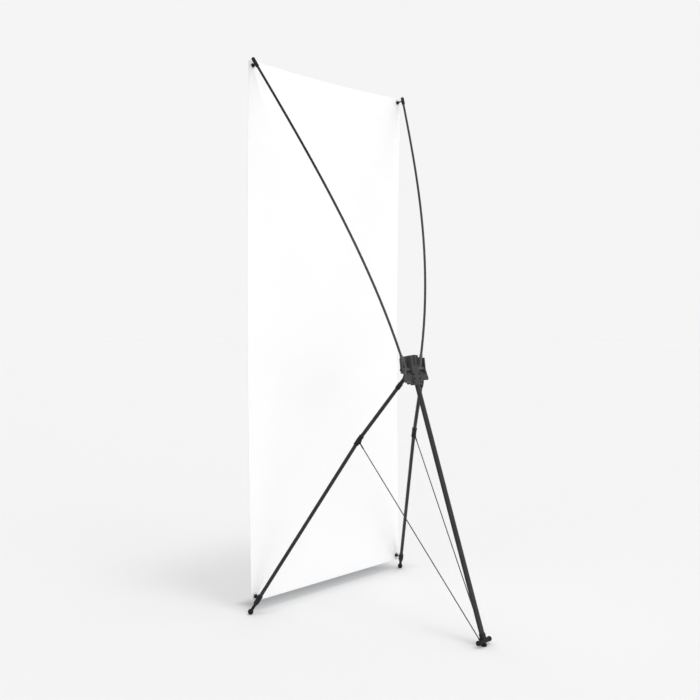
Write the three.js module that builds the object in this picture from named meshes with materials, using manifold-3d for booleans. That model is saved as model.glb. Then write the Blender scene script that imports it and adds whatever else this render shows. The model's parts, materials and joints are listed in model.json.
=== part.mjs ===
// X banner stand: a moulded hub carries two bent rods upwards and three legs downwards,
// and a blank sheet is stretched between the rod tips and the two front legs.
// Millimetres, +Z up. The sheet faces -Y and the rear leg reaches towards +Y.
import * as THREE from 'three';
import { mergeVertices } from 'three/addons/utils/BufferGeometryUtils.js';
import Module from 'manifold-3d';

const wasm = await Module();
wasm.setup();

// Driving dimensions. Depths (back) are measured from the plane of the sheet's four eyelets.
const gap = 0.3;
const overrun = 2;
const banner = { width: 800, height: 2000, thick: 0.8, bottom: 42, hem: 40, bow: 15, topSag: 11 };
const eyelet = { bore: 4.6, barrel: 5.2, flange: 7.4, lip: 0.9, edgeRadius: 0.4 };
const hub = {
  leanDegrees: 8, back: 443.6, height: 918,
  front: -11.5, floor: -7.6, rear: 8.5, split: 2.4, plateHalf: 52, earFront: -2, inset: 0.2,
  halfWidth: 62, earWall: 4, earTop: 39.4, earBottom: -5, crown: 51.3,
  blockHalf: 18, blockRear: 15.5, rib: 3, grooveDeep: 2.4, grooveFoot: 6, cornerRadius: 3,
};
const skirt = {
  top: -3, topHalf: 54.4, cornerHalf: 64, cornerDrop: -38, cornerFoot: -43.5, frontHalf: 40,
  archHalf: 44, archDrop: -39, toeHalf: 25, toeTop: -50, toe: -54,
  rearTop: 15, rearFoot: 16, shoulder: 12,
};
const well = { half: 51, foot: -8, rampFront: -1.6, rampRear: 18, rampFoot: -21.8 };
const housing = { half: 21, top: -9, rearTop: 15.5, ridge: -34, ridgeRear: 18.4, foot: -58, footRear: 23 };
const pocket = { deep: 5, half: 8, wall: 3.2, foot: -50, head: -23 };
const dimple = { radius: 2.6, deep: 4, across: 14.4, up: -48.4 };
const screw = {
  across: 14.7, upper: -19, lower: -35.4, head: 3.6, headTall: 2.4, sunk: 2.6,
  shank: 1.7, reach: 16, slot: 0.9,
};
const arm = {
  across: 36.8, splayDegrees: 18.3, barrel: 7.3, barrelHalf: 12.7, root: 6.6, mouth: 5.8, socket: 54,
  rodRadius: 4.6, seat: 14, pin: 3, pinHead: 4.8, headTall: 2, pinDeep: 7, boss: 6.3,
};
const tip = {
  out: 12.4, behind: 18.4, above: 17.7,
  radius: 6.8, length: 38, wall: 3.2, hookDrop: 17.5, dome: 2.4, play: 0.5,
};
const hook = { stem: 2.8, shoulder: 7.2, shoulderTall: 4.2, edge: 1.6, shank: 2.4, knob: 4, reach: 8.4 };
const legPin = { across: 45.5, back: 2.4, up: -29, radius: 3, cheek: 4.2 };
const knuckle = {
  radius: 8.5, half: 5.9, neck: 6.4, tongue: 28, outer: 9, mouth: 8.5, length: 50, seat: 30,
};
const tube = { radius: 7, wall: 0.9 };
const collar = {
  across: 148.2, back: 316.5, height: 660.4, radius: 9, lip: 9.9, half: 20, butt: 1.4, ring: 3,
};
const lug = { reach: 15.5, half: 9.5, drop: 3, thick: 4.4 };
const foot = { out: 24, back: 2, radius: 10.5, neck: 5.6, shoulder: 19, flat: 1.1 };
const fitting = {
  length: 40, radius: 9.8, mouth: 8.6, nose: 7.4, bore: 30, band: 6.4, bevel: 2.4,
  hookAlong: 26, hookDrop: 2.2,
};
const rearPin = { back: 6.2, up: -14, radius: 2.3, cheek: 1.8 };
const rearKnuckle = { radius: 6.7, shoulder: 28, spigot: 24 };
const rearTube = { half: 10.6, thick: 12.2, wall: 1.2 };
const bar = {
  back: 772.9, height: 16.7, radius: 8, half: 24, peg: 3.4, pegLong: 8, sleeve: 2.1, sleeveLong: 25,
};
const ball = { across: 29, radius: 9 };
const eye = { across: 9, radius: 2.8, long: 10 };
const pad = { radius: 11, foot: 9.2, shoulder: 6.4, neck: 7.4, edgeRadius: 2.4 };
const stay = { radius: 1.4, crimp: 2.7, crimpBall: 3, crimpLong: 20 };
const legFoldDegrees = 38;
const rearFoldDegrees = 11.4;
const count = {
  pinSides: 12, rodSides: 12, turnedSides: 16, ringSides: 20, arcSteps: 4,
  rodSteps: 24, cordSides: 8, cordSteps: 12,
};
const sheetCount = { columns: 8, rowsBetweenHems: 26, hemRows: 2 };

const X = new THREE.Vector3(1, 0, 0);
const down = new THREE.Vector3(0, 0, -1);
const rad = THREE.MathUtils.degToRad;

// Finishes
const finish = (color, roughness, metalness) => (
  new THREE.MeshStandardMaterial({ color, roughness, metalness }));
const moulded = finish(0x484848, 0.6, 0);
const darkMoulded = finish(0x242424, 0.55, 0);
const glossRod = finish(0x3c3c3c, 0.3, 0.1);
const paintedTube = finish(0x4a4a4a, 0.35, 0.4);
const rubber = finish(0x2b2b2b, 0.85, 0);
const steel = finish(0x55565a, 0.35, 0.9);
const blackPlate = finish(0x2a2a2c, 0.35, 0.6);
const cordThread = finish(0x4b4b4b, 0.9, 0);
const vinyl = finish(0xfbfbfc, 0.5, 0);

// Booleans between closed meshes
function solid(geometry) {
  const bare = geometry.clone();
  bare.deleteAttribute('normal');
  bare.deleteAttribute('uv');
  const merged = mergeVertices(bare);
  const mesh = new wasm.Mesh({
    numProp: 3,
    vertProperties: new Float32Array(merged.attributes.position.array),
    triVerts: new Uint32Array(merged.index.array),
  });
  mesh.merge();
  return new wasm.Manifold(mesh);
}

function geometryOf(body) {
  const mesh = body.getMesh();
  const geometry = new THREE.BufferGeometry();
  geometry.setAttribute('position', new THREE.BufferAttribute(mesh.vertProperties, 3));
  geometry.setIndex(new THREE.BufferAttribute(mesh.triVerts, 1));
  const faceted = geometry.toNonIndexed();
  faceted.computeVertexNormals();
  return faceted;
}

const join = (...bodies) => bodies.reduce((all, body) => all.add(body));
const cut = (body, ...tools) => tools.reduce((rest, tool) => rest.subtract(tool), body);

function node(group, name, shape, material) {
  const geometry = shape.isBufferGeometry ? shape : geometryOf(shape);
  const mesh = new THREE.Mesh(geometry, material.clone());
  mesh.name = name;
  group.add(mesh);
  return mesh;
}

// A frame whose +Z runs along a direction and whose +X stays close to a second one
function frameAlong(origin, direction, sideways = X) {
  const z = direction.clone().normalize();
  const y = z.clone().cross(sideways).normalize();
  const x = y.clone().cross(z);
  return new THREE.Matrix4().makeBasis(x, y, z).setPosition(origin);
}

function groupAt(parent, matrix) {
  const group = new THREE.Group();
  matrix.decompose(group.position, group.quaternion, group.scale);
  parent.add(group);
  group.updateWorldMatrix(true, false);
  return group;
}

// Revolved solid about Z from [radius, height] pairs
function turned(points, sides = count.turnedSides) {
  return new THREE.LatheGeometry(points.map(([r, h]) => new THREE.Vector2(r, h)), sides).rotateX(Math.PI / 2);
}

function roundBar(radius, from, to, sides = count.pinSides) {
  return turned([[0, from], [radius, from], [radius, to], [0, to]], sides);
}

// A hole's flats lie outside its named radius, so that what turns in it keeps its clearance
function roundHole(radius, from, to, sides = count.pinSides) {
  return roundBar(radius / Math.cos(Math.PI / sides), from, to, sides);
}

function ring(outer, inner, from, to, sides = count.rodSides) {
  return turned([[inner, from], [outer, from], [outer, to], [inner, to], [inner, from]], sides);
}

// Turns a shape that lies along Z so that it lies along X
const alongX = (geometry) => geometry.rotateY(Math.PI / 2);

function extruded(shape, depth) {
  return new THREE.ExtrudeGeometry(shape, { depth, bevelEnabled: false, curveSegments: count.arcSteps });
}

// Extrudes an outline drawn in X and Z from one depth in Y to another
function plate(shape, front, rear) {
  return extruded(shape, rear - front).rotateX(Math.PI / 2).translate(0, rear, 0);
}

// Extrudes an outline drawn in Y and Z from one place in X to another
function tab(shape, from, to) {
  const turn = new THREE.Matrix4().makeBasis(new THREE.Vector3(0, 1, 0), new THREE.Vector3(0, 0, 1), X);
  return extruded(shape, to - from).translate(0, 0, from).applyMatrix4(turn);
}

const outline = (points) => new THREE.Shape(points.map(([a, b]) => new THREE.Vector2(a, b)));
const box = (x0, x1, z0, z1) => outline([[x0, z0], [x1, z0], [x1, z1], [x0, z1]]);
const mirrored = (points) => [...points, ...points.slice().reverse().map(([a, b]) => [-a, b])];

// A flat oval in X and Y, drawn from its half width and its thickness
function flatOval(half, thick) {
  const shape = new THREE.Shape();
  const centre = half - thick / 2;
  shape.absarc(centre, 0, thick / 2, -Math.PI / 2, Math.PI / 2, false);
  shape.absarc(-centre, 0, thick / 2, Math.PI / 2, Math.PI * 3 / 2, false);
  return shape;
}

function ovalBar(half, thick, from, to, bore) {
  const shape = flatOval(half, thick);
  if (bore) shape.holes.push(flatOval(half - bore, thick - bore - bore));
  return extruded(shape, to - from).translate(0, 0, from);
}

// Frames of the joints. Each leg's frame has +Z down the leg and +X along its hinge pin.
const stand = new THREE.Group();
const hubFrame = new THREE.Matrix4()
  .makeRotationX(rad(hub.leanDegrees))
  .setPosition(0, hub.back, hub.height);
const hubGroup = groupAt(stand, hubFrame);
const hubDown = down.clone().transformDirection(hubFrame);

const eyeletPoint = (side, up) => new THREE.Vector3(
  side * (banner.width / 2 - banner.hem / 2), 0,
  banner.bottom + (up ? banner.height - banner.hem / 2 : banner.hem / 2));

function legPoints(side) {
  const pivot = new THREE.Vector3(side * legPin.across, legPin.back, legPin.up).applyMatrix4(hubFrame);
  const bend = new THREE.Vector3(side * collar.across, collar.back, collar.height);
  const across = eyeletPoint(side, false).x + side * foot.out;
  const base = new THREE.Vector3(across, foot.back, foot.radius - foot.flat);
  return { pivot, bend, base };
}

function legFrame(side) {
  const { pivot, bend } = legPoints(side);
  const direction = bend.clone().sub(pivot).normalize();
  return frameAlong(pivot, direction, direction.clone().cross(hubDown));
}

const rearPivot = new THREE.Vector3(0, rearPin.back, rearPin.up).applyMatrix4(hubFrame);
const barCentre = new THREE.Vector3(0, bar.back, bar.height);
const rearLength = barCentre.distanceTo(rearPivot);
const rearDirection = barCentre.clone().sub(rearPivot).normalize();
const rearFrame = frameAlong(rearPivot, rearDirection, rearDirection.clone().cross(hubDown));

// The slot that a hinged leg needs in the hub: round its pin, and open over its swing
function swingSlot(half, round, thick, swingDegrees, reach) {
  const swing = rad(swingDegrees);
  const away = [-Math.sin(swing), Math.cos(swing)];
  const far = reach / Math.cos(swing / 2);
  const fan = outline([
    [thick, 0], [thick, reach], [-far * Math.sin(swing / 2), far * Math.cos(swing / 2)],
    [reach * away[0] - thick * away[1], reach * away[1] + thick * away[0]],
    [-thick * away[1], thick * away[0]],
  ]);
  return join(solid(tab(fan, -half, half)), solid(alongX(roundHole(round, -half, half, count.ringSides))));
}

function inHub(body, frame) {
  const local = hubFrame.clone().invert().multiply(frame);
  return body.transform(local.elements);
}

// Hub: an arched back plate with two ears and a grooved middle block, over a flared skirt
// that holds the leg pins. The skirt is split, and its rear half is a screwed cover.
function archedPlate() {
  const shape = new THREE.Shape();
  shape.moveTo(-hub.halfWidth, hub.earBottom);
  shape.lineTo(hub.halfWidth, hub.earBottom);
  shape.lineTo(hub.halfWidth, hub.earTop - hub.cornerRadius);
  shape.quadraticCurveTo(hub.halfWidth, hub.earTop, hub.halfWidth - hub.cornerRadius, hub.earTop);
  shape.quadraticCurveTo(0, hub.crown + hub.crown - hub.earTop, hub.cornerRadius - hub.halfWidth, hub.earTop);
  shape.quadraticCurveTo(-hub.halfWidth, hub.earTop, -hub.halfWidth, hub.earTop - hub.cornerRadius);
  return shape;
}

// Seen from above, the plate turns back at both sides into the ears
function upperShell() {
  const plan = outline(mirrored([
    [hub.plateHalf, hub.front], [hub.halfWidth, hub.earFront], [hub.halfWidth, hub.rear],
  ]));
  const tall = hub.crown + hub.crown - hub.earBottom;
  const column = extruded(plan, tall).translate(0, 0, hub.earBottom);
  return solid(plate(archedPlate(), hub.front, hub.rear)).intersect(solid(column));
}

function middleBlock() {
  const whole = solid(plate(archedPlate(), hub.front, hub.blockRear));
  const slice = box(-hub.blockHalf, hub.blockHalf, hub.earBottom - overrun, hub.crown + overrun);
  const lower = box(-hub.blockHalf, hub.blockHalf, housing.top + gap, hub.earTop);
  const block = join(
    whole.intersect(solid(plate(slice, hub.front, hub.blockRear))),
    solid(plate(lower, hub.front, hub.blockRear)));
  const wide = (hub.blockHalf - hub.rib - hub.rib / 2) / 2;
  const grooves = [-1, 1].map((side) => {
    const centre = side * (wide + hub.rib / 2);
    const shape = box(centre - wide, centre + wide, hub.grooveFoot + arm.boss, hub.crown + overrun);
    return solid(plate(shape, hub.blockRear - hub.grooveDeep, hub.blockRear + overrun));
  });
  return cut(block, ...grooves);
}

// An arm's channel: open to the rear and the top, with a ramp at its foot that the folded arm passes
function armChannel(side) {
  const inner = hub.halfWidth - hub.earWall;
  const place = (points) => outline(points.map(([x, y]) => [side * x, y]));
  const plan = place([
    [hub.blockHalf, hub.floor], [hub.plateHalf - hub.inset, hub.floor], [inner, hub.earFront + hub.inset],
    [inner, hub.blockRear + overrun], [hub.blockHalf, hub.blockRear + overrun],
  ]);
  const upper = extruded(plan, hub.crown + overrun - skirt.top).translate(0, 0, skirt.top);
  const profile = outline([
    [hub.floor, well.foot], [well.rampFront, well.foot], [well.rampRear, well.rampFoot],
    [well.rampRear, skirt.top + overrun], [hub.floor, skirt.top + overrun],
  ]);
  const ends = [side * hub.blockHalf, side * well.half].sort((a, b) => a - b);
  return join(solid(upper), solid(tab(profile, ...ends)));
}

// Round bosses keep the arm's barrel in the middle of its channel
function armBosses(side, clear) {
  const barrelHalf = arm.barrelHalf + gap;
  const inner = hub.halfWidth - hub.earWall;
  const pairs = [[hub.blockHalf, arm.across - barrelHalf], [arm.across + barrelHalf, inner]];
  const shape = clear ? roundHole : roundBar;
  return pairs.map((pair) => {
    const ends = pair.map((x) => side * x).sort((a, b) => a - b);
    return solid(alongX(shape(arm.boss + clear, ends[0] - clear, ends[1] + clear, count.turnedSides)));
  });
}

function skirtOutline() {
  const shape = new THREE.Shape();
  shape.moveTo(0, skirt.top);
  for (const side of [1, -1]) {
    const across = (x) => side * x;
    const points = [[across(skirt.topHalf), skirt.top], [across(skirt.cornerHalf), skirt.cornerDrop]];
    const corner = [across(skirt.cornerHalf - hub.cornerRadius), skirt.cornerFoot];
    const toe = [across(skirt.toeHalf), skirt.toeTop];
    const arch = [across(skirt.archHalf), skirt.archDrop];
    const under = [across(skirt.toeHalf - hub.cornerRadius), skirt.toe];
    if (side > 0) {
      points.forEach(([x, z]) => shape.lineTo(x, z));
      shape.lineTo(...corner);
      shape.quadraticCurveTo(...arch, ...toe);
      shape.lineTo(...under);
    } else {
      shape.lineTo(...under);
      shape.lineTo(...toe);
      shape.quadraticCurveTo(...arch, ...corner);
      points.reverse().forEach(([x, z]) => shape.lineTo(x, z));
    }
  }
  return shape;
}

function skirtBody() {
  const face = solid(plate(skirtOutline(), hub.front, skirt.rearFoot));
  const plan = outline(mirrored([
    [skirt.frontHalf, hub.front], [skirt.cornerHalf, skirt.shoulder], [skirt.cornerHalf, skirt.rearFoot],
  ]));
  const tall = skirt.top - skirt.toe + overrun + overrun;
  const column = solid(extruded(plan, tall).translate(0, 0, skirt.toe - overrun));
  const profile = outline([
    [hub.front, skirt.toe], [skirt.rearFoot, skirt.toe], [skirt.rearFoot, skirt.cornerDrop],
    [skirt.rearTop, skirt.top], [hub.front, skirt.top],
  ]);
  return face.intersect(column).intersect(solid(tab(profile, -skirt.cornerHalf, skirt.cornerHalf)));
}

function rearHousing() {
  const profile = outline([
    [hub.split, housing.foot], [housing.footRear, housing.foot], [housing.ridgeRear, housing.ridge],
    [housing.rearTop, housing.top], [hub.split, housing.top],
  ]);
  return solid(tab(profile, -housing.half, housing.half));
}

const screwPlaces = [
  ['screw_upper_left', 1, screw.upper], ['screw_upper_right', -1, screw.upper],
  ['screw_lower_left', 1, screw.lower], ['screw_lower_right', -1, screw.lower],
];

// The housing's rear face leans out from its top to its ridge and then to its foot
function housingRear(height) {
  const [from, fromRear, to, toRear] = height > housing.ridge
    ? [housing.top, housing.rearTop, housing.ridge, housing.ridgeRear]
    : [housing.ridge, housing.ridgeRear, housing.foot, housing.footRear];
  return fromRear + (from - height) / (from - to) * (toRear - fromRear);
}

// A screw head lies sunk in its hole
const headTop = (height) => housingRear(height) - screw.sunk;

function screwBody(height, clear) {
  const top = headTop(height) - screw.headTall;
  const shape = clear ? roundHole : roundBar;
  const head = shape(screw.head + clear, 0, screw.headTall + (clear ? screw.sunk + overrun : 0));
  const shank = shape(screw.shank + clear, -screw.reach - clear, overrun / 2);
  return join(solid(head), solid(shank)).rotate([-90, 0, 0]).translate([0, top - clear, height]);
}

function hubCuts() {
  const reach = skirt.top - housing.foot + housing.footRear;
  const cuts = [];
  for (const side of [1, -1]) {
    const thick = knuckle.neck + gap;
    const slot = swingSlot(knuckle.half + gap, knuckle.radius + gap, thick, legFoldDegrees, reach);
    const pinEnd = pinHalf(knuckle.half, legPin) + gap;
    const bore = solid(alongX(roundHole(legPin.radius + gap, -pinEnd, pinEnd)));
    cuts.push(inHub(join(slot, bore), legFrame(side)));
  }
  const thick = rearTube.thick / 2 + gap;
  const slot = swingSlot(rearTube.half + gap, rearKnuckle.radius + gap, thick, rearFoldDegrees, reach);
  const rearHalf = pinHalf(rearTube.half, rearPin) + gap;
  const bore = solid(alongX(roundHole(rearPin.radius + gap, -rearHalf, rearHalf)));
  cuts.push(inHub(join(slot, bore), rearFrame));
  for (const [, side, height] of screwPlaces) {
    cuts.push(screwBody(height, gap).translate([side * screw.across, 0, 0]));
  }
  for (const side of [1, -1]) {
    cuts.push(solid(roundBar(dimple.radius, -dimple.deep, overrun)
      .rotateX(-Math.PI / 2).translate(side * dimple.across, housingRear(dimple.up), dimple.up)));
  }
  return cuts;
}

const pinHalf = (half, pin) => half + gap + pin.cheek;

function armPinCuts() {
  const from = hub.blockHalf - arm.pinDeep - gap;
  return [1, -1].map((side) => {
    const ends = [side * from, side * (hub.halfWidth + overrun)];
    return solid(alongX(roundHole(arm.pin + gap, Math.min(...ends), Math.max(...ends))));
  });
}

// Ribbed pockets in the front of the skirt, as a moulding has to keep its walls even
function frontPockets() {
  const pockets = [];
  for (const column of [-1, 0, 1]) {
    const centre = column * (pocket.half + pocket.half + pocket.wall);
    const low = column ? pocket.foot + pocket.wall : pocket.foot;
    const shape = box(centre - pocket.half, centre + pocket.half, low, pocket.head);
    pockets.push(solid(plate(shape, hub.front - overrun, hub.front + pocket.deep)));
  }
  return pockets;
}

function buildHub() {
  const cuts = hubCuts();
  const channels = [1, -1].map(armChannel);
  const bosses = [1, -1].flatMap((side) => armBosses(side, 0));
  const bossHoles = [1, -1].flatMap((side) => armBosses(side, gap));
  const skirtAll = skirtBody();
  const deep = housing.footRear - hub.front + overrun;
  const wide = skirt.cornerHalf + overrun;
  const whole = box(-wide, wide, housing.foot - overrun, skirt.top + overrun);
  const frontHalf = solid(plate(whole, hub.front - overrun, hub.split));
  const rearHalf = solid(plate(whole, hub.split + gap, hub.split + deep));
  const blockHalf = hub.blockHalf + gap;
  const underBlock = box(-blockHalf, blockHalf, housing.top, skirt.top + overrun);
  const blockFoot = solid(plate(underBlock, hub.front, hub.split + deep));
  const apronHalf = well.half + gap;
  const underPlate = box(-apronHalf, apronHalf, well.foot - gap, hub.earBottom + gap);
  const apron = solid(plate(underPlate, hub.front, hub.floor));
  const hollow = cut(join(upperShell(), skirtAll.intersect(frontHalf), middleBlock(), apron), ...channels);
  const shell = cut(join(hollow, ...bosses), ...cuts, ...armPinCuts(), ...frontPockets());
  const back = box(-housing.half, housing.half, housing.foot - overrun, housing.top);
  const rearAll = join(
    skirtAll.intersect(rearHalf),
    rearHousing().intersect(solid(plate(back, hub.split + gap, hub.split + deep))));
  const earFoot = box(-wide, wide, hub.earBottom - gap, skirt.top + overrun);
  const earSeat = solid(plate(earFoot, hub.front, hub.rear + gap));
  const cover = cut(rearAll, blockFoot, earSeat, ...channels, ...bossHoles, ...cuts);
  node(hubGroup, 'hub_front_shell', shell, moulded);
  node(hubGroup, 'hub_rear_cover', cover, moulded);
  for (const [name, side, height] of screwPlaces) {
    const half = screw.head + overrun;
    const groove = box(-half, half, height - screw.slot / 2, height + screw.slot / 2);
    const slot = solid(plate(groove, headTop(height) - screw.slot, headTop(height) + overrun));
    const body = cut(screwBody(height, 0), slot).translate([side * screw.across, 0, 0]);
    node(hubGroup, name, body, steel);
  }
}

function buildPins() {
  for (const [side, name] of [[1, 'left'], [-1, 'right']]) {
    const shaft = [
      [0, hub.blockHalf - arm.pinDeep], [arm.pin, hub.blockHalf - arm.pinDeep],
      [arm.pin, hub.halfWidth + gap],
      [arm.pinHead, hub.halfWidth + gap], [arm.pinHead, hub.halfWidth + arm.headTall / 2],
      [arm.pin, hub.halfWidth + gap + arm.headTall], [0, hub.halfWidth + gap + arm.headTall],
    ];
    const pin = alongX(turned(shaft, count.pinSides));
    node(hubGroup, `arm_pin_${name}`, side > 0 ? pin : pin.rotateZ(Math.PI), steel);
    const half = pinHalf(knuckle.half, legPin);
    const leg = groupAt(stand, legFrame(side));
    node(leg, `leg_pin_${name}`, alongX(roundBar(legPin.radius, -half, half)), steel);
  }
  const half = pinHalf(rearTube.half, rearPin);
  const rear = groupAt(stand, rearFrame);
  node(rear, 'rear_leg_pin', alongX(roundBar(rearPin.radius, -half, half)), steel);
}

// Arm rod: straight in its socket, then bent like a cantilever whose tip the sheet pulls to its corner
class BentRod extends THREE.Curve {
  constructor(side, pivot) {
    super();
    const splay = rad(arm.splayDegrees);
    const end = eyeletPoint(side, true)
      .add(new THREE.Vector3(side * tip.out, tip.behind, tip.above))
      .applyMatrix4(hubFrame.clone().invert())
      .sub(pivot);
    this.direction = new THREE.Vector3(side * Math.sin(splay), 0, Math.cos(splay));
    const long = end.z / Math.cos(splay);
    this.bend = end.clone().addScaledVector(this.direction, -long);
    this.straight = arm.socket - arm.seat;
    this.free = long - arm.socket;
  }

  getPoint(t, target = new THREE.Vector3()) {
    const along = t * (this.straight + this.free);
    target.copy(this.direction).multiplyScalar(arm.seat + along);
    const share = Math.max(0, along - this.straight) / this.free;
    return target.addScaledVector(this.bend, (3 * share ** 2 - share ** 3) / 2);
  }

  // The slope of the cantilever at its tip
  endDirection() {
    return this.direction.clone().multiplyScalar(this.free).addScaledVector(this.bend, 3 / 2).normalize();
  }
}

function roundSection(radius, sides) {
  const shape = new THREE.Shape();
  for (let k = 0; k < sides; k += 1) {
    const angle = k * Math.PI * 2 / sides;
    const x = radius * Math.cos(angle);
    const y = radius * Math.sin(angle);
    if (k) shape.lineTo(x, y);
    else shape.moveTo(x, y);
  }
  return shape;
}

// A hook: a stem from its fitting's axis, then a shoulder behind the sheet, a shank through the eyelet
// and a knob in front. The direction is the one in which the sheet faces.
function hookBody(from, through, direction) {
  const seat = banner.thick / 2 + gap + eyelet.lip + gap;
  const back = seat + hook.shoulderTall;
  const round = hook.knob * Math.sin(Math.PI / 3);
  const peg = turned([
    [0, -back], [hook.shoulder - hook.edge, -back], [hook.shoulder, hook.edge - back], [hook.shoulder, -seat],
    [hook.shank, -seat], [hook.shank, hook.reach - hook.knob], [round, hook.reach - hook.knob / 2],
    [hook.knob, hook.reach], [round, hook.reach + hook.knob / 2], [0, hook.reach + hook.knob],
  ], count.pinSides);
  const root = through.clone().addScaledVector(direction, hook.edge - back);
  const stem = roundBar(hook.stem, 0, root.distanceTo(from));
  return join(
    solid(peg).transform(frameAlong(through, direction).elements),
    solid(stem).transform(frameAlong(from, root.sub(from)).elements));
}

const facing = new THREE.Vector3(0, -1, 0);
const facingIn = (group) => facing.clone().transformDirection(group.matrixWorld.clone().invert());

function buildArm(side, name) {
  const pivot = new THREE.Vector3(side * arm.across, 0, 0);
  const group = groupAt(hubGroup, new THREE.Matrix4().setPosition(pivot));
  const rod = new BentRod(side, pivot);
  const barrel = solid(alongX(roundBar(arm.barrel, -arm.barrelHalf, arm.barrelHalf, count.ringSides)));
  const cone = turned([
    [0, 0], [arm.root, 0], [arm.root, arm.socket / 2], [arm.mouth, arm.socket], [0, arm.socket],
  ]);
  const socket = solid(cone).transform(frameAlong(new THREE.Vector3(), rod.direction).elements);
  const bore = solid(roundHole(arm.rodRadius + gap, arm.seat - gap, arm.socket + overrun))
    .transform(frameAlong(new THREE.Vector3(), rod.direction).elements);
  const pinHole = solid(alongX(roundHole(arm.pin + gap, -hub.halfWidth, hub.halfWidth)));
  node(group, `arm_knuckle_${name}`, cut(join(barrel, socket), bore, pinHole), moulded);

  const section = roundSection(arm.rodRadius, count.rodSides);
  const settings = { steps: count.rodSteps, bevelEnabled: false, extrudePath: rod };
  node(group, `arm_rod_${name}`, solid(new THREE.ExtrudeGeometry(section, settings)), glossRod);

  const top = rod.getPoint(1);
  const tangent = rod.endDirection();
  const capTop = top.clone().addScaledVector(tangent, gap + tip.wall);
  const cap = frameAlong(capTop, tangent.clone().negate());
  const capBody = turned([
    [0, 0], [tip.radius - tip.dome, 0], [tip.radius, tip.dome], [tip.radius, tip.length - tip.dome],
    [tip.radius - tip.dome / 2, tip.length], [0, tip.length],
  ]);
  const capBore = roundHole(arm.rodRadius + tip.play, tip.wall, tip.length + overrun);
  const from = capTop.clone().addScaledVector(tangent, -tip.hookDrop);
  const through = group.worldToLocal(eyeletPoint(side, true));
  const body = join(solid(capBody).transform(cap.elements), hookBody(from, through, facingIn(group)));
  node(group, `tip_cap_${name}`, cut(body, solid(capBore).transform(cap.elements)), darkMoulded);
}

// Front leg: knuckle, upper tube, collar with the stay's lug, lower tube, end fitting and foot
function hingeTongue(radius, neck, half, long) {
  const slab = outline([[-neck, 0], [neck, 0], [neck, long], [-neck, long]]);
  return join(solid(alongX(roundBar(radius, -half, half, count.ringSides))), solid(tab(slab, -half, half)));
}

function buildLeg(side, name) {
  const { pivot, bend, base } = legPoints(side);
  const upper = groupAt(stand, legFrame(side));
  const tongue = hingeTongue(knuckle.radius, knuckle.neck, knuckle.half, knuckle.tongue);
  const cup = solid(turned([
    [0, knuckle.tongue - overrun], [knuckle.outer, knuckle.tongue - overrun],
    [knuckle.outer, knuckle.length - overrun],
    [knuckle.mouth, knuckle.length], [0, knuckle.length],
  ]));
  const bore = solid(roundHole(tube.radius + gap, knuckle.seat, knuckle.length + overrun));
  const hole = solid(alongX(roundHole(legPin.radius + gap, -knuckle.half - overrun, knuckle.half + overrun)));
  node(upper, `leg_knuckle_${name}`, cut(join(tongue, cup), bore, hole), darkMoulded);

  const upperLong = bend.distanceTo(pivot);
  node(upper, `leg_upper_tube_${name}`,
    ring(tube.radius, tube.radius - tube.wall, knuckle.seat + gap, upperLong - collar.butt), paintedTube);

  const pinLine = new THREE.Vector3().setFromMatrixColumn(legFrame(side), 0);
  const lowerFrame = frameAlong(bend, base.clone().sub(bend), pinLine);
  const lower = groupAt(stand, lowerFrame);
  const lowerLong = base.distanceTo(bend);
  buildCollar(side, name, lower, lowerFrame);

  // The end fitting lies where its hook meets the sheet's eyelet, and the foot's neck fills what is left
  const hookHeight = eyeletPoint(side, false).z - fitting.hookDrop;
  const hookAt = lowerLong * (bend.z - hookHeight) / (bend.z - base.z);
  const end = hookAt + fitting.hookAlong;
  const mouth = end - fitting.length;
  node(lower, `leg_lower_tube_${name}`,
    ring(tube.radius, tube.radius - tube.wall, collar.butt, mouth + fitting.bore), paintedTube);

  const fittingBody = solid(turned([
    [0, mouth], [fitting.mouth, mouth], [fitting.radius, mouth + fitting.bevel],
    [fitting.radius, end - fitting.band - fitting.bevel], [fitting.nose, end], [0, end],
  ]));
  const fittingBore = solid(roundHole(tube.radius + gap, mouth - overrun, mouth + fitting.bore + gap));
  const from = new THREE.Vector3(0, 0, hookAt);
  const through = lower.worldToLocal(eyeletPoint(side, false));
  const body = join(fittingBody, hookBody(from, through, facingIn(lower)));
  node(lower, `leg_end_fitting_${name}`, cut(body, fittingBore), darkMoulded);
  buildFoot(name, lower, lowerLong, end + gap, base);
  buildStay(side, name);
}

// The rubber foot is a bulb on a neck, worn flat where it stands
function buildFoot(name, lower, lowerLong, neckTop, base) {
  const points = [];
  const last = Math.acos(-Math.sqrt(1 - (foot.neck / foot.radius) ** 2));
  for (let k = 0; k <= count.arcSteps * 2; k += 1) {
    const angle = last * k / (count.arcSteps * 2);
    points.push([foot.radius * Math.sin(angle), lowerLong + foot.radius * Math.cos(angle)]);
  }
  points.push([foot.neck, lowerLong - foot.shoulder], [foot.neck, neckTop], [0, neckTop]);
  const bulb = solid(turned(points.reverse()));
  const inLower = lower.matrixWorld.clone().invert();
  const floorFrame = new THREE.Matrix4().makeTranslation(base.x, base.y, 0).premultiply(inLower);
  const under = solid(roundBar(foot.radius * 2, -foot.radius, 0)).transform(floorFrame.elements);
  node(lower, `foot_${name}`, cut(bulb, under), rubber);
}

// The cord of the stay runs from the collar's lug to an eye on the front of the rear foot's bar
function stayLine(side) {
  const { bend } = legPoints(side);
  const far = new THREE.Vector3(side * eye.across, bar.back - bar.radius, bar.height);
  const along = far.clone().sub(bend).normalize();
  const near = bend.clone().addScaledVector(along, lug.reach).add(new THREE.Vector3(0, 0, -lug.drop));
  return { near, far, along: far.clone().sub(near).normalize(), length: far.distanceTo(near) };
}

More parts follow.
